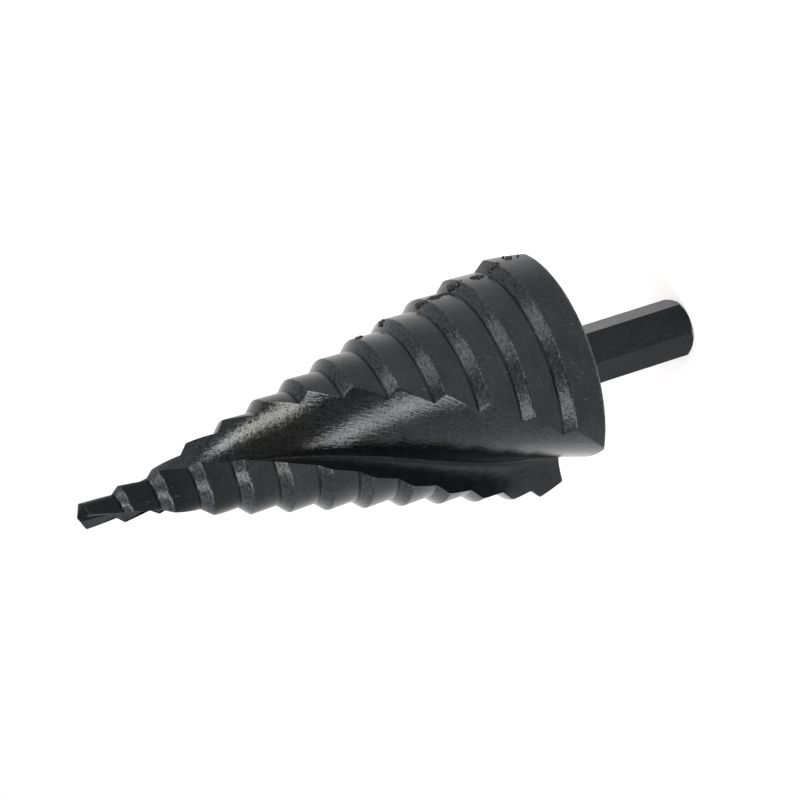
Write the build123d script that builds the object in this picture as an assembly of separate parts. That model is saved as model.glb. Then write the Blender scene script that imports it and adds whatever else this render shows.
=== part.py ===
from build123d import *
import os
from math import acos, asin, atan, cos, hypot, pi, radians, sin, tan

# Step drill, one solid of high-speed steel: a head of thirteen diameters with two spiral
# flutes, on a hexagonal shank. It stands on the shank's end: the origin is the middle of
# that end, +Z runs up the drill's axis to the point, and a flat of the hexagon faces +X.
# Millimetres and degrees.

# Head: diameters and lengths, counted from the point.
PILOT_DIAMETER = 4.0
FIRST_STEP_DIAMETER = 6.0
STEP_RISE = 3.0
STEP_COUNT = 12
POINT_ANGLE = 135.0
PILOT_LENGTH = 7.0
SMALL_STEP_PITCH = 5.95
SMALL_STEP_COUNT = 2
STEP_PITCH = 6.0
LAST_LAND = 6.0
SHOULDER_ANGLE = 45.0
LAND_TAPER_ANGLE = 1.6
REAR_CHAMFER = 0.3

# Shank: a hexagon with its corners turned off at its end, to part of a ball.
SHANK_FLATS = 8.6
SHANK_LENGTH = 24.9
END_CHAMFER = 0.8

# Flutes: where the cutting edge lies at the rear of the head, how far it would turn about
# the axis over the head's length at an even rate, and what quickening adds to that, first
# all along the head and then mostly near the point.
FLUTE_COUNT = 2
EDGE_ANGLE_AT_REAR = -122.5
EDGE_ANGLE_TURNED = 135.2
EDGE_ANGLE_QUICKENING = 42.0
EDGE_ANGLE_SWEEP = 33.0
SWEEP_POWER = 5
# The flute's width as an angle about the axis, from the cutting edge to the heel.
FLUTE_ANGLE_AT_REAR = 64.0
FLUTE_ANGLE_GAIN = 7.9
FLUTE_ANGLE_WIDENING = 28.0
WIDENING_POWER = 2.2
# The radius at the foot of the rake face, as a share of the head's radius there.
ROOT_SHARE_AT_REAR = 0.715
ROOT_SHARE_AT_POINT = 0.28
ROOT_FILLET_SHARE = 0.09
# The rake face is hooked: it curves forward to its foot, where it has this slope, and it
# is straight again this far outside the head's middle cone.
RAKE_HOOK = 0.5
RAKE_REACH = 1.5
# How far the flute's cutter reaches past the head, outward and at both ends.
CUTTER_MARGIN = 3.0
CUTTER_OVERRUN = 1.5
CUTTER_SECTIONS = 22

REAR_DIAMETER = FIRST_STEP_DIAMETER + STEP_RISE * (STEP_COUNT - 1)


def step_diameter(step):
    """The diameter at the front of a step, with the pilot as step 0."""
    return PILOT_DIAMETER if step == 0 else FIRST_STEP_DIAMETER + STEP_RISE * (step - 1)


def step_front(step):
    """How far the front corner of a step, 1 and up, lies behind the point."""
    small = min(step - 1, SMALL_STEP_COUNT)
    return PILOT_LENGTH + SMALL_STEP_PITCH * small + STEP_PITCH * (step - 1 - small)


HEAD_LENGTH = step_front(STEP_COUNT) + LAST_LAND
TOTAL_LENGTH = SHANK_LENGTH + HEAD_LENGTH


def head_profile():
    """Half the head's outline as (radius, height) points, from the point to the rear."""
    taper, slope = tan(radians(LAND_TAPER_ANGLE)), tan(radians(SHOULDER_ANGLE))
    corner = step_diameter(0) / 2
    fall = corner / tan(radians(POINT_ANGLE / 2))
    points = [(0, TOTAL_LENGTH), (corner, TOTAL_LENGTH - fall)]
    start = fall
    for step in range(1, STEP_COUNT + 1):
        radius, front = step_diameter(step) / 2, step_front(step)
        # The land narrows backwards until it meets the next shoulder's foot.
        foot_radius = (corner - taper * (front - start) + taper * radius / slope) / (1 + taper / slope)
        foot = front - (radius - foot_radius) / slope
        points += [(foot_radius, TOTAL_LENGTH - foot), (radius, TOTAL_LENGTH - front)]
        corner, start = radius, front
    rear_radius = corner - taper * (LAST_LAND - REAR_CHAMFER)
    points.append((rear_radius, SHANK_LENGTH + REAR_CHAMFER))
    points.append((rear_radius - REAR_CHAMFER, SHANK_LENGTH))
    points.append((0, SHANK_LENGTH))
    return points


def head_blank():
    """The head before the flutes are cut, turned about Z."""
    outline = [(radius, 0, height) for radius, height in head_profile()]
    return revolve(make_face(Polyline(*outline, close=True)), Axis.Z)


def flute_section(above_rear):
    """The flute cutter's cross-section at a height above the head's rear."""
    forward = min(max(above_rear / HEAD_LENGTH, 0.0), 1.0)
    head = (REAR_DIAMETER + (PILOT_DIAMETER - REAR_DIAMETER) * forward) / 2
    share_gain = (ROOT_SHARE_AT_REAR - ROOT_SHARE_AT_POINT) * (1 - forward**2) ** 2
    root = head * (ROOT_SHARE_AT_POINT + share_gain)
    fillet = root * ROOT_FILLET_SHARE
    widening = FLUTE_ANGLE_WIDENING * forward**WIDENING_POWER
    width = radians(FLUTE_ANGLE_AT_REAR + FLUTE_ANGLE_GAIN * forward + widening)
    reach = head + CUTTER_MARGIN

    # X runs out along the rake face and Y across the flute to its heel. The floor is an
    # arc that starts out squarely across X at the root and runs on past the heel.
    heel_x, heel_y = head * cos(width), head * sin(width)
    floor_radius = (heel_y**2 + (root - heel_x) ** 2) / (2 * (root - heel_x))
    floor_turn = acos((heel_x - root + floor_radius) / floor_radius)

    def on_floor(turn):
        return root - floor_radius + floor_radius * cos(turn), floor_radius * sin(turn)

    # The fillet meets the rake face at its foot and the floor where that has turned a little.
    slope = atan(RAKE_HOOK)
    leave = asin(fillet * cos(slope) / (floor_radius + fillet))
    centre = root - floor_radius + (floor_radius + fillet) * cos(leave), fillet * cos(slope)

    def on_fillet(turn):
        return centre[0] - fillet * sin(turn), centre[1] - fillet * cos(turn)

    def past_heel(length):
        return heel_x - length * sin(floor_turn), heel_y + length * cos(floor_turn)

    foot, lip = on_fillet(slope)[0], head + RAKE_REACH
    chord = lip - foot
    far = past_heel(CUTTER_MARGIN)
    far_radius = hypot(*far)
    middle = acos(far[0] / far_radius) / 2
    bulge = max(reach, far_radius)
    edges = [
        Line((bulge, 0), (lip, 0)),
        Bezier((lip, 0), (lip - chord / 3, 0), (foot + chord / 3, -RAKE_HOOK * chord / 3), (foot, 0)),
        ThreePointArc((foot, 0), on_fillet((slope + pi / 2 - leave) / 2), on_floor(leave)),
        ThreePointArc(on_floor(leave), on_floor((leave + floor_turn) / 2), (heel_x, heel_y)),
        Line((heel_x, heel_y), far),
        ThreePointArc(far, (bulge * cos(middle), bulge * sin(middle)), (bulge, 0)),
    ]
    turned = above_rear / HEAD_LENGTH
    turn = EDGE_ANGLE_AT_REAR + EDGE_ANGLE_TURNED * turned + EDGE_ANGLE_QUICKENING * turned**2
    turn += EDGE_ANGLE_SWEEP * turned**SWEEP_POWER
    return Pos(0, 0, SHANK_LENGTH + above_rear) * Rot(0, 0, turn) * make_face(edges)


def flute_cutter():
    """The space that one flute takes out of the head, twisting from rear to point."""
    span = HEAD_LENGTH + 2 * CUTTER_OVERRUN
    heights = [span * i / (CUTTER_SECTIONS - 1) - CUTTER_OVERRUN for i in range(CUTTER_SECTIONS)]
    return loft([flute_section(height) for height in heights])


def shank():
    """The hexagonal shank, with its corners turned off at the end and bedded in the head."""
    hexagon = RegularPolygon(SHANK_FLATS / 2, 6, major_radius=False, rotation=30)
    top = SHANK_LENGTH + LAST_LAND / 2
    corner = SHANK_FLATS / 2 / cos(radians(30))
    # A ball whose middle is this high on the axis takes as much off the side as off the end.
    ball = hypot(corner - END_CHAMFER, corner)
    turned = Pos(0, 0, corner) * (Sphere(ball) + Pos(0, 0, top / 2) * Cylinder(ball, top))
    return extrude(hexagon, top) & turned


def step_drill():
    cutter = flute_cutter()
    head = head_blank()
    for flute in range(FLUTE_COUNT):
        head -= Rot(0, 0, 360 * flute / FLUTE_COUNT) * cutter
    return head + shank()


os.makedirs("parts", exist_ok=True)
export_step(step_drill(), "parts/step_drill.step")
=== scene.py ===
import bpy
import bmesh
import numpy as np
from math import acos, asin, atan, atan2, cos, degrees, hypot, pi, radians, sin, sqrt, tan
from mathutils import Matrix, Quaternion, Vector, noise
from mathutils.bvhtree import BVHTree
from random import Random

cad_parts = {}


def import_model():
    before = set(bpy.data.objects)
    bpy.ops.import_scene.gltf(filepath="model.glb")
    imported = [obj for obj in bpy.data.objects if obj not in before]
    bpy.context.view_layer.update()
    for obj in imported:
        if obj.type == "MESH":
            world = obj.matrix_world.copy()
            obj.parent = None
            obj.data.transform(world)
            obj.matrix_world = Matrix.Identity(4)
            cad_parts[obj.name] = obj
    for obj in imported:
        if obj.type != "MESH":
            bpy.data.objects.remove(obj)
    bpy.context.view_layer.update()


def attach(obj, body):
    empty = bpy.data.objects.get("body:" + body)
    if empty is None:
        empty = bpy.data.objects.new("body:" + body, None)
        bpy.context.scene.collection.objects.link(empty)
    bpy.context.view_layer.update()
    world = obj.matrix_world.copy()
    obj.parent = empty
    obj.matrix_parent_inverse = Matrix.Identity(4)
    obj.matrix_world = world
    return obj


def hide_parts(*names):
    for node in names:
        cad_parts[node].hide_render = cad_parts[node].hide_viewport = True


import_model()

# A step drill on a hexagonal shank, standing on the shank's end with its point up. The
# shapes are worked out in millimetres and degrees and put into the meshes in metres.
# "Behind" is the distance from the drill's point.
MM = 0.001
HALF_TURN = 180.0

# Head and shank, as the CAD model has them.
PILOT_DIAMETER = 4.0
FIRST_STEP_DIAMETER = 6.0
STEP_RISE = 3.0
STEP_COUNT = 12
POINT_ANGLE = 135.0
PILOT_LENGTH = 7.0
SMALL_STEP_PITCH = 5.95
SMALL_STEP_COUNT = 2
STEP_PITCH = 6.0
LAST_LAND = 6.0
SHOULDER_ANGLE = 45.0
LAND_TAPER_ANGLE = 1.6
REAR_CHAMFER = 0.3
SHANK_FLATS = 8.6
SHANK_LENGTH = 24.9
END_CHAMFER = 0.8
EDGE_ANGLE_AT_REAR = -122.5
EDGE_ANGLE_TURNED = 135.2
EDGE_ANGLE_QUICKENING = 42.0
EDGE_ANGLE_SWEEP = 33.0
SWEEP_POWER = 5
FLUTE_ANGLE_AT_REAR = 64.0
FLUTE_ANGLE_GAIN = 7.9
FLUTE_ANGLE_WIDENING = 28.0
WIDENING_POWER = 2.2
ROOT_SHARE_AT_REAR = 0.715
ROOT_SHARE_AT_POINT = 0.28
ROOT_FILLET_SHARE = 0.09
RAKE_HOOK = 0.5
RAKE_REACH = 1.5

# What only this model has: the clearance ground behind each edge, as millimetres that a
# ring moves back for each degree behind the cutting edge, the breaks of the flutes' edges,
# and the rounds at the corners and the feet of the steps. A break and a round are at most
# a share of the radius and of the strip before them.
CLEARANCE = 0.0076
EDGE_BREAK = 0.03
BREAK_SHARE = 0.03
CORNER_ROUND = 0.14
FOOT_ROUND = 0.13
ROUND_SHARE = 0.3

# Mesh: rows along the profile and columns round half of a ring. A strip's first and last
# rows lie at a margin from its ends, which is at most a share of the strip.
TIP_RADIUS = 0.2
LAND_STEP = 0.62
SHOULDER_ROWS = 4
ROUND_ROWS = 3
ROW_MARGIN = 0.2
MARGIN_SHARE = 0.3
RAKE_COLUMNS = 14
FILLET_COLUMNS = 5
FLOOR_COLUMNS = 30
LAND_COLUMNS = 56
SMOOTH_ANGLE = 28
# A strip is a shoulder where its radius changes by more than this for each millimetre.
STEEP = 0.3

# How worn the rear rim is, and the steps' corners at the flutes' edges, if a corner is 1.
REAR_WEAR = 4
EDGE_WEAR = 12

# A place on the floor is looked for up to this many radii from the root, by halving, and
# a ring's heel settles in some rounds. Where a ring is smaller than the flute's root, its
# flute is worked out for a ring this many times the root, and drawn in.
SEARCH_RADII = 4
HALVINGS = 40
SETTLE_ROUNDS = 12
ROOT_CLEAR = 1.01

# The drill's surfaces, in the order of its materials.
SLOTS = ("land", "shoulder", "flute", "rake", "shank", "rear")

REAR_DIAMETER = FIRST_STEP_DIAMETER + STEP_RISE * (STEP_COUNT - 1)


def step_radius(step):
    """The radius at the front of a step, with the pilot as step 0."""
    return (PILOT_DIAMETER if step == 0 else FIRST_STEP_DIAMETER + STEP_RISE * (step - 1)) / 2


def step_front(step):
    """How far the front corner of a step, 1 and up, lies behind the point."""
    small = min(step - 1, SMALL_STEP_COUNT)
    return PILOT_LENGTH + SMALL_STEP_PITCH * small + STEP_PITCH * (step - 1 - small)


HEAD_LENGTH = step_front(STEP_COUNT) + LAST_LAND
TOTAL_LENGTH = SHANK_LENGTH + HEAD_LENGTH


# ---------------------------------------------------------------- the head's profile

def corners():
    """The head's half profile as (radius, behind) from near the point to the rear face."""
    taper, slope = tan(radians(LAND_TAPER_ANGLE)), tan(radians(SHOULDER_ANGLE))
    corner = step_radius(0)
    start = corner / tan(radians(POINT_ANGLE / 2))
    points = [(TIP_RADIUS, TIP_RADIUS / tan(radians(POINT_ANGLE / 2))), (corner, start)]
    for step in range(1, STEP_COUNT + 1):
        radius, front = step_radius(step), step_front(step)
        # The land narrows backwards until it meets the next shoulder's foot.
        foot = (corner - taper * (front - start) + taper * radius / slope) / (1 + taper / slope)
        points += [(foot, front - (radius - foot) / slope), (radius, front)]
        corner, start = radius, front
    rear = corner - taper * (LAST_LAND - REAR_CHAMFER)
    return points + [(rear, HEAD_LENGTH - REAR_CHAMFER), (rear - REAR_CHAMFER, HEAD_LENGTH)]


def unit(vector):
    return vector / np.linalg.norm(vector)


def strip_points(start, stop, steep):
    """Points along a straight strip, near both of its ends and evenly in between."""
    length = np.linalg.norm(stop - start)
    count = SHOULDER_ROWS if steep else max(2, round(length / LAND_STEP))
    margin = min(ROW_MARGIN / length, MARGIN_SHARE)
    shares = [margin] + [k / count for k in range(1, count) if margin < k / count < 1 - margin]
    return [start + (stop - start) * share for share in shares + [1 - margin]]


def round_points(start, corner, end):
    """Points along the round of a corner, from its start to its end."""
    shares = [k / ROUND_ROWS for k in range(ROUND_ROWS + 1)]
    return [start * (1 - t) ** 2 + 2 * corner * t * (1 - t) + end * t**2 for t in shares]


def profile_rows():
    """Rows (radius, behind, wear, recess, slot) along the profile, with rounded corners.

    Wear is 1 or more on a convex corner and recess is 1 in a concave one. The slot is that
    of the strip between the row and the next."""
    points = [np.array(p) for p in corners()]
    rows = [(*points[0], 0, 0, "land")]
    last = points[0]
    for i in range(1, len(points) - 1):
        here = points[i]
        along, out = unit(here - last), unit(points[i + 1] - here)
        steep = abs(along[0]) > STEEP
        slot = "shoulder" if steep and i > 1 else "land"
        next_slot = "shoulder" if abs(out[0]) > STEEP else "land"
        convex = along[0] * out[1] - along[1] * out[0] > 0
        # In a concave corner the recess mask is 1, and the materials darken it there as painted shade.
        wear, recess = (1, 0) if convex else (0, 1)
        if i == len(points) - 2:
            wear = REAR_WEAR
        size = min(CORNER_ROUND if convex else FOOT_ROUND, ROUND_SHARE * np.linalg.norm(here - last))
        start, end = here - along * size, here + out * size
        rows += [(*point, 0, 0, slot) for point in strip_points(last, start, steep)]
        *turning, leaving = round_points(start, here, end)
        rows += [(*point, wear, recess, slot) for point in turning]
        rows.append((*leaving, wear, recess, next_slot))
        last = end
    return rows + [(*points[-1], 1, 0, "rear")]


# ---------------------------------------------------------------- the flutes

class Section:
    """The flute's cross-section at a distance behind the point.

    X runs out along the rake face and Y across the flute to its heel."""

    def __init__(self, behind):
        share = 1 - behind / HEAD_LENGTH
        forward = min(max(share, 0.0), 1.0)
        head = (REAR_DIAMETER + (PILOT_DIAMETER - REAR_DIAMETER) * forward) / 2
        gain = (ROOT_SHARE_AT_REAR - ROOT_SHARE_AT_POINT) * (1 - forward**2) ** 2
        self.root = head * (ROOT_SHARE_AT_POINT + gain)
        self.fillet = self.root * ROOT_FILLET_SHARE
        widening = FLUTE_ANGLE_WIDENING * forward**WIDENING_POWER
        width = radians(FLUTE_ANGLE_AT_REAR + FLUTE_ANGLE_GAIN * forward + widening)
        heel_x, heel_y = head * cos(width), head * sin(width)
        rise = self.root - heel_x
        self.bend = (heel_y**2 + rise**2) / (2 * rise)
        self.turned = acos(1 - rise / self.bend)
        # The fillet meets the rake face at `foot`, sloping there as the hook does, and
        # leaves the floor where that has turned by `leave`.
        self.slope = atan(RAKE_HOOK)
        middle = self.bend + self.fillet
        self.leave = asin(self.fillet * cos(self.slope) / middle)
        centre = self.root - self.bend + middle * cos(self.leave)
        self.foot = centre - self.fillet * sin(self.slope)
        self.lip = head + RAKE_REACH
        turned = EDGE_ANGLE_AT_REAR + EDGE_ANGLE_TURNED * share + EDGE_ANGLE_QUICKENING * share**2
        self.edge = turned + EDGE_ANGLE_SWEEP * share**SWEEP_POWER

    def rake(self, x):
        """Where the rake face lies across the flute, at a distance out along it."""
        share = min(1.0, max(0.0, (x - self.foot) / (self.lip - self.foot)))
        return -RAKE_HOOK * (self.lip - self.foot) * share * (1 - share) ** 2

    def on_fillet(self, turn):
        """The point of the fillet where it has turned so far from the rake face."""
        x = self.foot - self.fillet * (sin(turn) - sin(self.slope))
        return x, self.fillet * (cos(self.slope) - cos(turn))

    def floor(self, along):
        """The point that lies some way along the floor from the root."""
        turn = min(along / self.bend, self.turned)
        x = self.root - self.bend + self.bend * cos(turn)
        y = self.bend * sin(turn)
        beyond = along - turn * self.bend
        return x - beyond * sin(turn), y + beyond * cos(turn)

    def reach(self, radius):
        """How far along the floor a radius is met."""
        low, high = 0.0, SEARCH_RADII * radius
        for _ in range(HALVINGS):
            middle = (low + high) / 2
            if hypot(*self.floor(middle)) < radius:
                low = middle
            else:
                high = middle
        return high


def clearance(radius, behind):
    """Millimetres that a ring moves back for each degree behind its cutting edge."""
    cone = min(1.0, max(0.0, (radius - TIP_RADIUS) / (step_radius(0) - TIP_RADIUS)))
    rear = min(1.0, max(0.0, (HEAD_LENGTH - behind) / LAST_LAND))
    return CLEARANCE * cone * rear


def heel_place(here, behind, move, cut):
    """Where a ring meets the heel: how far behind, along the floor and round the land."""
    land_turn = HALF_TURN - FLUTE_ANGLE_AT_REAR
    for _ in range(SETTLE_ROUNDS):
        heel_behind = behind + move * land_turn
        heel = Section(heel_behind)
        reach = heel.reach(cut)
        x, y = heel.floor(reach)
        land_turn = here.edge - heel.edge + HALF_TURN - degrees(atan2(y, x))
    return heel_behind, reach, land_turn


def half_ring(radius, behind):
    """Half a ring as (x, y, behind, across, along, zone): one flute, then the land after it.

    Across and along are distances across and along the surface's machining marks."""
    here = Section(behind)
    move = clearance(radius, behind)
    cut = max(radius, here.root * ROOT_CLEAR)
    heel_behind, reach, land_turn = heel_place(here, behind, move, cut)
    small = min(EDGE_BREAK, BREAK_SHARE * radius)
    points = []

    def add(x, y, back, turn, across, along, zone):
        size = hypot(x, y)
        if size > radius:
            x, y = x * radius / size, y * radius / size
        a = radians(turn)
        points.append((x * cos(a) - y * sin(a), x * sin(a) + y * cos(a), back, across, along, zone))

    top = cut - small
    for k in range(RAKE_COLUMNS):
        r = top + (here.foot - top) * k / RAKE_COLUMNS
        add(r, here.rake(r), behind, here.edge, r, behind, "rake")
    for k in range(FILLET_COLUMNS):
        turn = here.slope + (pi / 2 - here.leave - here.slope) * k / FILLET_COLUMNS
        add(*here.on_fillet(turn), behind, here.edge, here.fillet * turn, behind, "root")
    start = here.leave * here.bend
    bent = here.fillet * (pi / 2 - here.leave) - start
    for k in range(FLOOR_COLUMNS):
        t = k / (FLOOR_COLUMNS - 1)
        back = behind + (heel_behind - behind) * t
        section = Section(back)
        along = start + (reach - small - start) * t
        add(*section.floor(along), back, section.edge, along + bent, back, "flute")
    nick = degrees(small / radius)
    for k in range(LAND_COLUMNS):
        turn = nick + (land_turn - 2 * nick) * (1 - k / (LAND_COLUMNS - 1))
        back, angle = behind + move * turn, here.edge + HALF_TURN - turn
        add(radius, 0.0, back, angle, radius * radians(turn), behind, "land")
    return points


def head_ring(build, half, wear, recess):
    """Adds the points of a whole ring, from half of it, and returns their numbers."""
    ring = []
    for sign in (1, -1):
        for place, (x, y, back, across, along, zone) in enumerate(half):
            # Sunk carries the recess mask, for the lands' concave corners and the root fillet, which
            # the materials darken as painted shade.
            worn, sunk = (wear, recess) if zone == "land" else (0, zone == "root")
            if place in (0, len(half) - 1):
                worn = EDGE_WEAR * wear
            z = TOTAL_LENGTH - back
            ring.append(build.point(sign * x, sign * y, z, across, along, worn, float(sunk)))
    return ring


def head_slots(zones, row_slot):
    """The slots of the faces round a ring, from its zones and the profile's slot there."""
    slots = []
    for k, zone in enumerate(zones):
        after = zones[(k + 1) % len(zones)]
        if zone == "land" or (zone == "flute" and after == "land"):
            slots.append(row_slot)
        else:
            slots.append("flute" if zone == "root" else zone)
    return slots


def head_mesh(build):
    """Adds the head's rings and their faces to a build, and returns the rear ring."""
    rings, row_slot = [], None
    for radius, behind, wear, recess, slot in profile_rows():
        half = half_ring(radius, behind)
        rings.append(head_ring(build, half, wear, recess))
        if len(rings) > 1:
            build.strip(rings[-2], rings[-1], head_slots([p[-1] for p in half] * 2, row_slot))
        row_slot = slot
    first = rings[0]
    tip = build.point(0, 0, TOTAL_LENGTH, 0, 0, 0, 0)
    for k in range(len(first)):
        build.face((tip, first[k], first[(k + 1) % len(first)]), "land")
    return rings[-1]


# ---------------------------------------------------------------- the shank

# The hexagon's corners are small flats. The end has rings at these shares of its radius.
FLAT_COUNT = 6
FLAT_ANGLE = 60
FLAT_COLUMNS = 10
CORNER_BREAK = 0.12
SHANK_ROWS = 14
END_ROWS = 5
END_SHARES = 0.5, 0.8


def hexagon():
    """Points (radius, angle, across) round the hexagon, with small flats on its corners."""
    side = SHANK_FLATS / 2
    half = side * tan(radians(FLAT_ANGLE / 2)) - CORNER_BREAK
    points = []
    for flat in range(FLAT_COUNT):
        for k in range(FLAT_COLUMNS + 1):
            y = half * (2 * k / FLAT_COLUMNS - 1)
            points.append((hypot(side, y), radians(FLAT_ANGLE * flat) + atan2(y, side), y))
    return points


def shank_rings():
    """Rings of points (radius, angle, height, across), from the flat end up to the head."""
    corner = SHANK_FLATS / 2 / cos(radians(FLAT_ANGLE / 2))
    ball = hypot(corner - END_CHAMFER, corner)
    end_radius = corner - END_CHAMFER
    outline = hexagon()
    rings = [[(end_radius * share, a, 0.0, y) for _, a, y in outline] for share in END_SHARES]
    for k in range(END_ROWS):
        ring = []
        for r, a, y in outline:
            radius = end_radius + (r - end_radius) * k / (END_ROWS - 1)
            ring.append((radius, a, corner - sqrt(ball**2 - radius**2), y))
        rings.append(ring)
    low = rings[-1]
    for k in range(1, SHANK_ROWS + 1):
        t = k / SHANK_ROWS
        rings.append([(r, a, z + (SHANK_LENGTH - z) * t, y) for r, a, z, y in low])
    return rings


def shank_mesh(build):
    """Adds the shank below the head's rear face, and returns its top ring."""
    previous = None
    for ring in shank_rings():
        made = [build.point(r * cos(a), r * sin(a), z, y, z, 0, 0) for r, a, z, y in ring]
        if previous is None:
            centre = build.point(0, 0, 0, 0, 0, 0, 0)
            for k in range(len(made)):
                build.face((centre, made[(k + 1) % len(made)], made[k]), "shank")
        else:
            build.strip(previous, made, ["shank"] * len(made))
        previous = made
    return previous


# ---------------------------------------------------------------- building meshes

class Build:
    """Collects points with what their materials need, and faces with their slots."""

    def __init__(self):
        self.points, self.grain, self.wear, self.recess = [], [], [], []
        self.faces, self.slots = [], []

    def point(self, x, y, z, across, along, wear, recess):
        self.points.append((x * MM, y * MM, z * MM))
        self.grain.append((across, along, 0.0))
        self.wear.append(wear)
        self.recess.append(recess)
        return len(self.points) - 1

    def face(self, points, slot):
        self.faces.append(points)
        self.slots.append(SLOTS.index(slot))

    def strip(self, one, other, slots):
        """Adds the faces between two closed rings, with a slot for each."""
        for k, slot in enumerate(slots):
            n = (k + 1) % len(slots)
            self.face((one[k], one[n], other[n], other[k]), slot)

    def mesh(self, name):
        mesh = bpy.data.meshes.new(name)
        mesh.from_pydata(self.points, [], self.faces)
        mesh.polygons.foreach_set("material_index", self.slots)
        grain = mesh.attributes.new("grain", "FLOAT_VECTOR", "POINT")
        grain.data.foreach_set("vector", [v for g in self.grain for v in g])
        for key, values in (("wear", self.wear), ("recess", self.recess)):
            mesh.attributes.new(key, "FLOAT", "POINT").data.foreach_set("value", values)
        return mesh


def close_rear(mesh, outer, inner):
    """Fills the flat rear face between the head's outline and the shank's."""
    made = bmesh.new()
    made.from_mesh(mesh)
    made.verts.ensure_lookup_table()
    edges = []
    for ring in (outer, inner):
        for k in range(len(ring)):
            pair = made.verts[ring[k]], made.verts[ring[(k + 1) % len(ring)]]
            edges.append(made.edges.get(pair) or made.edges.new(pair))
    filled = bmesh.ops.triangle_fill(made, edges=edges, use_beauty=True, normal=(0, 0, -1))
    for item in filled["geom"]:
        if isinstance(item, bmesh.types.BMFace):
            item.material_index = SLOTS.index("rear")
    bmesh.ops.recalc_face_normals(made, faces=made.faces)
    made.to_mesh(mesh)
    made.free()


def smooth_by_angle(mesh, angle):
    mesh.polygons.foreach_set("use_smooth", [True] * len(mesh.polygons))
    mesh.set_sharp_from_angle(angle=radians(angle))


def piece(name, mesh):
    made = bpy.data.objects.new(name, mesh)
    bpy.context.scene.collection.objects.link(made)
    return made


def drill_body():
    """The head and the shank as one closed mesh, with its materials."""
    build = Build()
    outer = head_mesh(build)
    inner = shank_mesh(build)
    mesh = build.mesh("drill_body")
    close_rear(mesh, outer, inner)
    smooth_by_angle(mesh, SMOOTH_ANGLE)
    for slot in SLOTS:
        mesh.materials.append(oxide("oxide_" + slot, **OXIDES[slot]))
    return piece("drill_body", mesh)


# ---------------------------------------------------------------- materials

class Graph:
    """The nodes of a material or a world, made by short calls."""

    def __init__(self, owner, shader):
        owner.use_nodes = True
        self.owner, self.tree = owner, owner.node_tree
        self.shader = self.tree.nodes[shader]

    def set(self, socket, value):
        if isinstance(value, bpy.types.NodeSocket):
            self.tree.links.new(value, socket)
        else:
            socket.default_value = value

    def shade(self, key, value):
        """Sets or links one of the shader's own sockets."""
        self.set(self.shader.inputs[key], value)

    def node(self, kind, out=0, **settings):
        """Adds a node with its settings and inputs, and returns one of its outputs."""
        node = self.tree.nodes.new(kind)
        inputs = settings.pop("inputs", {})
        for key, value in settings.items():
            setattr(node, key, value)
        for key, value in inputs.items():
            self.set(node.inputs[key], value)
        return node.outputs[out]

    def math(self, operation, a, b):
        return self.node("ShaderNodeMath", operation=operation, inputs={0: a, 1: b})

    def attribute(self, name, out):
        return self.node("ShaderNodeAttribute", attribute_name=name, out=out)

    def place(self):
        """The place on the piece, in millimetres."""
        return self.stretch(self.node("ShaderNodeTexCoord", "Object"), (1 / MM,) * 3)

    def noise(self, vector, scale, detail, rough):
        return self.node("ShaderNodeTexNoise", inputs={
            "Vector": vector, "Scale": scale, "Detail": detail, "Roughness": rough})

    def stretch(self, vector, scale, turn=0.0):
        return self.node("ShaderNodeMapping", inputs={
            "Vector": vector, "Scale": scale, "Rotation": (0.0, 0.0, radians(turn))})

    def range(self, value, low, high, to_low=0.0, to_high=1.0, curve="LINEAR"):
        return self.node("ShaderNodeMapRange", clamp=True, interpolation_type=curve, inputs={
            "Value": value, "From Min": low, "From Max": high, "To Min": to_low, "To Max": to_high})

    def blend(self, factor, a, b):
        node = self.tree.nodes.new("ShaderNodeMix")
        node.data_type = "RGBA"
        self.set(node.inputs["Factor"], factor)
        self.set(node.inputs["A"], a)
        self.set(node.inputs["B"], b)
        return node.outputs["Result"]

    def scaled(self, colour, factor):
        """A colour times a number that varies over the surface."""
        return self.node("ShaderNodeVectorMath", operation="SCALE", inputs={0: colour, "Scale": factor})

    def bump(self, height, depth=1.0):
        """A normal from a height in millimetres, or one that is multiplied by a depth."""
        return self.node("ShaderNodeBump", "Normal", inputs={
            "Height": height, "Strength": 1.0, "Distance": depth * MM})


def principled(name):
    return Graph(bpy.data.materials.new(name), "Principled BSDF")


METALLIC = 0.92
OXIDE = (0.90, 1.0, 1.09)
BARE = (0.30, 0.30, 0.29, 1.0)
# Stains turn the oxide this much towards brown, in places (x, y, height, radius).
STAIN_TINT = (0.93, 1.0, 0.86)
STAINS = ((4.8, 2.2, 72.0, 9.0), (6.8, -3.1, 59.2, 2.2), (7.0, -5.5, 53.1, 1.6),
          (6.8, -7.8, 47.2, 1.3), (7.4, -9.9, 41.3, 1.2))
# More of the short scratches to bare metal lie in these places (x, y, height, radius).
SCRATCHED = ((16.3, 1.6, 40.3, 2.0), (19.0, 5.2, 29.5, 2.6), (18.9, 0.5, 27.5, 2.4),
             (18.5, -5.6, 28.2, 2.2), (12.0, 6.0, 50.8, 1.2), (14.6, 5.0, 43.5, 1.5),
             (16.3, -1.5, 38.8, 1.6), (4.3, 0.9, 13.8, 1.5))
# A place keeps its full strength to this share of its radius.
SPOT_CORE = 0.5

# Noise (repeats per millimetre, detail, roughness): broad clouds, mottling and specks.
# The marks, scratches and rubs are stretched along the grain, so their own scale is 1.
CLOUDS = 0.16, 3.0, 0.55
MOTTLING = 1.7, 3.0, 0.6
SPECKS = 2.4, 3.0, 0.7
MARKS = 1.0, 3.0, 0.6
SCRATCHES = 1.0, 0.0, 0.5
RUBS = 1.0, 2.0, 0.5
# How often scratches and rubs repeat per millimetre (across, along and off the grain), and
# how many degrees they are turned from it.
SCRATCH_GRAIN = (6.5, 0.5, 1.0), 24.0
RUB_GRAIN = (0.9, 5.0, 1.0), 12.0

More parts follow.
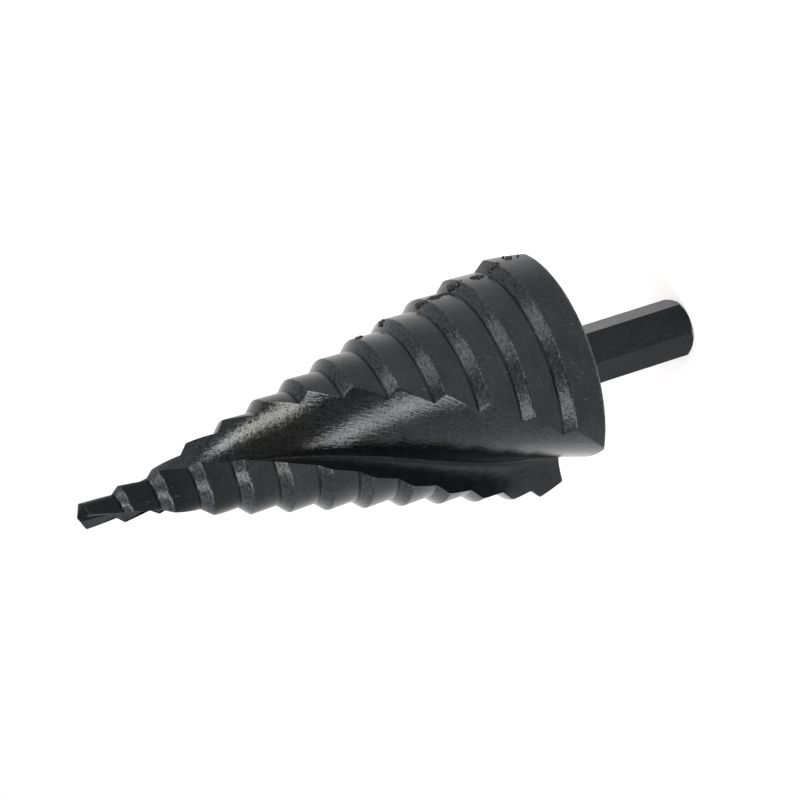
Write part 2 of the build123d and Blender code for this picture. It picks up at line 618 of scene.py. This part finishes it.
# Noise between these values makes a change from its least to its most.
BROAD_SPAN = 0.3, 0.7
MARK_SPAN = 0.35, 0.65
SPECK_SPAN = 0.54, 0.66
STAIN_SPAN = 0.40, 0.60
SCRATCH_SPAN = 0.74, 0.80
WEAR_SPAN = 0.42, 0.62
ROUGH_SPAN = 0.7, 1.3

# How far clouds and mottling vary the tone, what it is multiplied by in a recess, which is
# painted shade in the steps' feet and the flutes' roots, how strong a stain is where it is
# faintest, and what is added to the scratches' noise outside and inside their places.
CLOUD_TONE = 0.16
MOTTLE_TONE = 0.14
RECESS_SHADE_TONE = 0.4
FAINT_STAIN = 0.35
SCRATCH_GAIN = -0.10, 0.02

# Between these heights the oxide's tone changes to what it is at the point, and on the
# rake face to what it is in front of its rear end.
TIP_SPAN = 72.0, 90.0
RAKE_SPAN = 28.0, 42.0

# For each slot: tone is the colour's level and tip what it is multiplied by above span;
# grain is the marks' frequency (across, along) per millimetre and rough the ends of the
# roughness; marks and dents are depths in millimetres; streak is how far the marks vary
# the tone, pits how dark its specks are, fleck how bare its scratches and wear its edges.
OXIDES = {
    "land": dict(tone=0.029, grain=(0.3, 3.0), rough=(0.22, 0.32), marks=0.005, dents=0.008,
                 streak=0.10, pits=0.25, fleck=0.38, wear=0.04, tip=0.36),
    "shoulder": dict(tone=0.044, grain=(1.1, 3.0), rough=(0.11, 0.22), marks=0.012, dents=0.050,
                     streak=0.35, pits=0.80, fleck=0.10, wear=0.03, tip=1.6),
    "flute": dict(tone=0.040, grain=(2.4, 0.50), rough=(0.11, 0.19), marks=0.044, dents=0.022,
                  streak=0.14, pits=0.80, fleck=0.14, wear=0.2, tip=1.0),
    "rake": dict(tone=0.018, grain=(2.4, 0.5), rough=(0.28, 0.40), marks=0.014, dents=0.010,
                 streak=0.22, pits=0.3, fleck=0.10, wear=0.05, tip=2.2, span=RAKE_SPAN),
    "shank": dict(tone=0.018, grain=(3.0, 0.4), rough=(0.24, 0.34), marks=0.006, dents=0.006,
                  streak=0.14, pits=0.3, fleck=0.30, wear=0.1, tip=1.0),
    "rear": dict(tone=0.042, grain=(3.0, 3.0), rough=(0.32, 0.45), marks=0.010, dents=0.010,
                 streak=0.12, pits=0.3, fleck=0.10, wear=0.3, tip=1.0),
}


def near(g, place, spots):
    """1 inside the spots, falling to 0 at their radius."""
    total = 0.0
    for x, y, z, radius in spots:
        away = g.node("ShaderNodeVectorMath", "Value", operation="DISTANCE",
                      inputs={0: place, 1: (x, y, z)})
        total = g.math("MAXIMUM", total, g.range(away, SPOT_CORE * radius, radius, 1.0, 0.0))
    return total


def varied(g, level, pattern, span, amount):
    """A level that a pattern makes less or more by an amount."""
    return g.math("MULTIPLY", level, g.range(pattern, *span, 1 - amount, 1 + amount))


def bare_metal(g, surface, place, mottle, fleck, wear):
    """How much bare metal shows, in scratches and at worn edges."""
    scratch = g.noise(g.stretch(surface, *SCRATCH_GRAIN), *SCRATCHES)
    rub = g.noise(g.stretch(surface, *RUB_GRAIN), *RUBS)
    gain = g.range(near(g, place, SCRATCHED), 0.0, 1.0, *SCRATCH_GAIN)
    scratch = g.math("MAXIMUM", g.math("ADD", scratch, gain), rub)
    shown = g.math("MULTIPLY", g.range(scratch, *SCRATCH_SPAN), fleck)
    edge = g.math("MULTIPLY", g.attribute("wear", "Fac"), g.range(mottle, *WEAR_SPAN))
    return g.math("MAXIMUM", shown, g.math("MULTIPLY", edge, wear))


def oxide(name, tone, grain, rough, marks, dents, streak, pits, fleck, wear, tip, span=TIP_SPAN):
    """Black oxide over machining marks that run along the surface's own grain."""
    g = principled(name)
    surface, place = g.attribute("grain", "Vector"), g.place()
    lines = g.noise(g.stretch(surface, (*grain, 1.0)), *MARKS)
    mottle, specks = g.noise(place, *MOTTLING), g.noise(place, *SPECKS)
    level = varied(g, 1.0, g.noise(place, *CLOUDS), BROAD_SPAN, CLOUD_TONE)
    level = varied(g, level, mottle, BROAD_SPAN, MOTTLE_TONE)
    level = varied(g, level, lines, MARK_SPAN, streak)
    level = g.math("MULTIPLY", level, g.range(specks, *SPECK_SPAN, 1.0, 1 - pits))
    # Painted shade: the tone is multiplied down in the concave feet of the steps and in the flutes'
    # root fillets.
    recess = g.attribute("recess", "Fac")
    level = g.math("MULTIPLY", level, g.range(recess, 0.0, 1.0, 1.0, RECESS_SHADE_TONE))
    height = g.node("ShaderNodeSeparateXYZ", "Z", inputs={"Vector": place})
    level = g.math("MULTIPLY", level, g.range(height, *span, 1.0, tip))
    patchy = g.range(specks, *STAIN_SPAN, FAINT_STAIN, 1.0)
    stained = g.math("MULTIPLY", near(g, place, STAINS), patchy)
    plain, brown = ([tone * c for c in tint] + [1.0] for tint in (OXIDE, STAIN_TINT))
    colour = g.scaled(g.blend(stained, plain, brown), level)
    g.shade("Base Color", g.blend(bare_metal(g, surface, place, mottle, fleck, wear), colour, BARE))
    g.shade("Roughness", g.range(g.math("ADD", lines, mottle), *ROUGH_SPAN, *rough))
    g.shade("Metallic", METALLIC)
    relief = g.math("ADD", g.math("MULTIPLY", lines, marks), g.math("MULTIPLY", mottle, dents))
    g.shade("Normal", g.bump(relief))
    return g.owner


# ---------------------------------------------------------------- grit at the steps

# The grit's two colours, and the noise and its span between them.
GRIT_DARK = (0.016, 0.015, 0.013, 1.0)
GRIT_LIGHT = (0.14, 0.135, 0.11, 1.0)
GRAINS = 3.5, 3.0, 0.6
GRAIN_SPAN = 0.50, 0.68
GRAIN_DEPTH = 0.05
GRIT_ROUGHNESS = 0.85
# Strings of grit (start, end, lumps): where each begins and ends on the steps.
GRIT_STRINGS = (
    ((8.0, 14.35, 41.9), (7.5, 14.6, 39.1), 55),
    ((7.3, 15.3, 37.8), (9.6, 14.9, 36.8), 55),
    ((9.4, 15.3, 34.6), (9.85, 14.9, 32.9), 34),
    ((9.9, 15.6, 31.8), (11.2, 15.7, 30.9), 34),
    ((6.0, 14.3, 43.8), (8.0, 14.0, 43.0), 20),
    ((2.5, 14.1, 49.5), (4.5, 13.7, 49.2), 8),
    ((5.3, 12.4, 54.4), (4.3, 12.7, 53.2), 8),
    ((9.2, 17.1, 28.9), (10.7, 16.15, 27.0), 8))
# The least and greatest radius of a lump, how far lumps stray from their string, how far
# a lump's middle is lifted off the surface, as a share of its radius, and the seed.
GRIT_SIZES = 0.12, 0.30
GRIT_SPREAD = 0.28
GRIT_LIFT = 0.15
GRIT_SEED = 5
# How uneven a lump is, how fine its bumps are, and how far apart lumps read the noise.
LUMP_SWELL = 0.45
LUMP_BUMPS = 1.3
LUMP_SHIFT = 50


def grit_material():
    g = principled("grit")
    grains = g.noise(g.place(), *GRAINS)
    g.shade("Base Color", g.blend(g.range(grains, *GRAIN_SPAN), GRIT_DARK, GRIT_LIGHT))
    g.shade("Roughness", GRIT_ROUGHNESS)
    g.shade("Normal", g.bump(grains, GRAIN_DEPTH))
    return g.owner


def lump(mesh, random, place, size):
    """Adds an uneven lump to a bmesh."""
    made = bmesh.ops.create_icosphere(mesh, subdivisions=2, radius=1.0)
    shift = Vector([random.uniform(-LUMP_SHIFT, LUMP_SHIFT) for _ in range(3)])
    for vert in made["verts"]:
        swell = 1 + LUMP_SWELL * noise.noise(vert.co * LUMP_BUMPS + shift)
        vert.co = (place + vert.co * size * swell) * MM


def grit(body):
    """Lumps of grit, nearly half sunk in the drill's surface along the strings."""
    tree = BVHTree.FromPolygons([v.co / MM for v in body.data.vertices],
                                [tuple(f.vertices) for f in body.data.polygons])
    random = Random(GRIT_SEED)
    made = bmesh.new()
    for start, end, count in GRIT_STRINGS:
        start, end = Vector(start), Vector(end)
        for _ in range(count):
            place = start.lerp(end, random.random())
            place += Vector([random.gauss(0, GRIT_SPREAD) for _ in range(3)])
            surface, normal, _, _ = tree.find_nearest(place)
            size = random.uniform(*GRIT_SIZES)
            lump(made, random, surface + normal * GRIT_LIFT * size, size)
    mesh = bpy.data.meshes.new("grit")
    made.to_mesh(mesh)
    made.free()
    mesh.materials.append(grit_material())
    return piece("grit", mesh)


# ---------------------------------------------------------------- camera and lamps

# Camera, in metres, degrees and the lens's millimetres.
CAMERA_PLACE = (0.35694, -0.07197, 0.18227)
CAMERA_AIM = (0.01744, -0.00133, 0.05612)
CAMERA_ROLL = -107.57
LENS = 112.5
SENSOR = 36.0
CLIP_START, CLIP_END = 0.01, 20.0


def camera():
    data = bpy.data.cameras.new("camera")
    data.lens, data.sensor_width = LENS, SENSOR
    data.clip_start, data.clip_end = CLIP_START, CLIP_END
    made = bpy.data.objects.new("camera", data)
    made.location = CAMERA_PLACE
    made.rotation_mode = "QUATERNION"
    look = (Vector(CAMERA_AIM) - Vector(CAMERA_PLACE)).to_track_quat("-Z", "Y")
    made.rotation_quaternion = look @ Quaternion((0, 0, 1), radians(CAMERA_ROLL))
    bpy.context.scene.collection.objects.link(made)
    bpy.context.scene.camera = made


def direction(turn, rise):
    """The unit vector at an angle round the drill from +X and an angle above the floor."""
    turn, rise = radians(turn), radians(rise)
    return Vector((cos(rise) * cos(turn), cos(rise) * sin(turn), sin(rise)))


# Soft boxes: (angle round the drill, angle above the floor, width and height in degrees
# as the drill sees them, how far the box is rolled, radiance). They all face this point
# on the drill's axis, from this many metres away.
LAMPS = {
    "front_strip": (15.5, 26.0, 55.0, 8.5, -23.5, 10.5),
    "left_strip": (-66.0, 18.0, 38.0, 14.0, -42.0, 6.2),
    "left_high": (-72.0, 60.0, 16.0, 27.0, 0.0, 3.6),
    "right_high": (50.0, 56.0, 26.0, 26.0, 0.0, 1.7),
}
MIDDLE = Vector((0.0, 0.0, 0.055))
LAMP_DISTANCE = 0.6
LAMP_COLOUR = (1.07, 1.0, 0.98)


def lamp(name, turn, rise, wide, high, roll, radiance):
    """A soft box that faces the drill's middle."""
    data = bpy.data.lights.new(name, "AREA")
    data.shape = "RECTANGLE"
    data.size = 2 * LAMP_DISTANCE * tan(radians(wide / 2))
    data.size_y = 2 * LAMP_DISTANCE * tan(radians(high / 2))
    data.energy = radiance * pi * data.size * data.size_y
    data.color = LAMP_COLOUR
    made = bpy.data.objects.new(name, data)
    towards = direction(turn, rise)
    made.location = MIDDLE + towards * LAMP_DISTANCE
    made.rotation_mode = "QUATERNION"
    made.rotation_quaternion = towards.to_track_quat("Z", "Y") @ Quaternion((0, 0, 1), radians(roll))
    made.visible_camera = False
    bpy.context.scene.collection.objects.link(made)


# ---------------------------------------------------------------- studio and floor

# The studio is white all round, and dimmer where the room behind the camera opens: at its
# middle by this factor, fading out between these cosines of the angle from its middle.
WHITE = (1.0, 1.0, 1.0, 1.0)
ROOM = direction(-6.0, 14.0)
ROOM_LEVEL = 0.33
ROOM_EDGES = 0.42, 0.92
# The white background's strength as light on a matt surface.
DIFFUSE_LEVEL = 0.6
# The floor, in metres, and its own glow where it is seen.
FLOOR_REACH = 3.0
FLOOR_COLOUR = (0.8, 0.8, 0.8, 1.0)
FLOOR_ROUGHNESS = 0.9
FLOOR_GLOW = 0.45


def seen_ray(g):
    """1 for a ray that shows the background: to the camera, mirrored or through glass."""
    path = g.tree.nodes.new("ShaderNodeLightPath")
    total = path.outputs["Is Camera Ray"]
    for key in ("Is Glossy Ray", "Is Transmission Ray"):
        total = g.math("MAXIMUM", total, path.outputs[key])
    return total


def world():
    g = Graph(bpy.data.worlds.new("studio"), "Background")
    bpy.context.scene.world = g.owner
    where = g.node("ShaderNodeTexCoord", "Generated")
    facing = g.node("ShaderNodeVectorMath", "Value", operation="DOT_PRODUCT",
                    inputs={0: where, 1: ROOM})
    room = g.range(facing, *ROOM_EDGES, 1.0, ROOM_LEVEL, "SMOOTHSTEP")
    shown = g.math("MAXIMUM", room, g.node("ShaderNodeLightPath", "Is Camera Ray"))
    g.shade("Color", WHITE)
    g.shade("Strength", g.range(seen_ray(g), 0.0, 1.0, DIFFUSE_LEVEL, shown))


def floor():
    mesh = bpy.data.meshes.new("floor")
    r = FLOOR_REACH
    mesh.from_pydata([(-r, -r, 0), (r, -r, 0), (r, r, 0), (-r, r, 0)], [], [(0, 1, 2, 3)])
    made = piece("floor", mesh)
    g = principled("floor_white")
    g.shade("Base Color", FLOOR_COLOUR)
    g.shade("Roughness", FLOOR_ROUGHNESS)
    g.shade("Emission Color", WHITE)
    g.shade("Emission Strength", g.math("MULTIPLY", seen_ray(g), FLOOR_GLOW))
    made.data.materials.append(g.owner)


camera()
world()
for name, facts in LAMPS.items():
    lamp(name, *facts)
floor()
body = drill_body()
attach(body, "root")
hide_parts("step_drill")
crumbs = grit(body)
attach(crumbs, "root")

view = bpy.context.scene.view_settings
view.view_transform = "Standard"
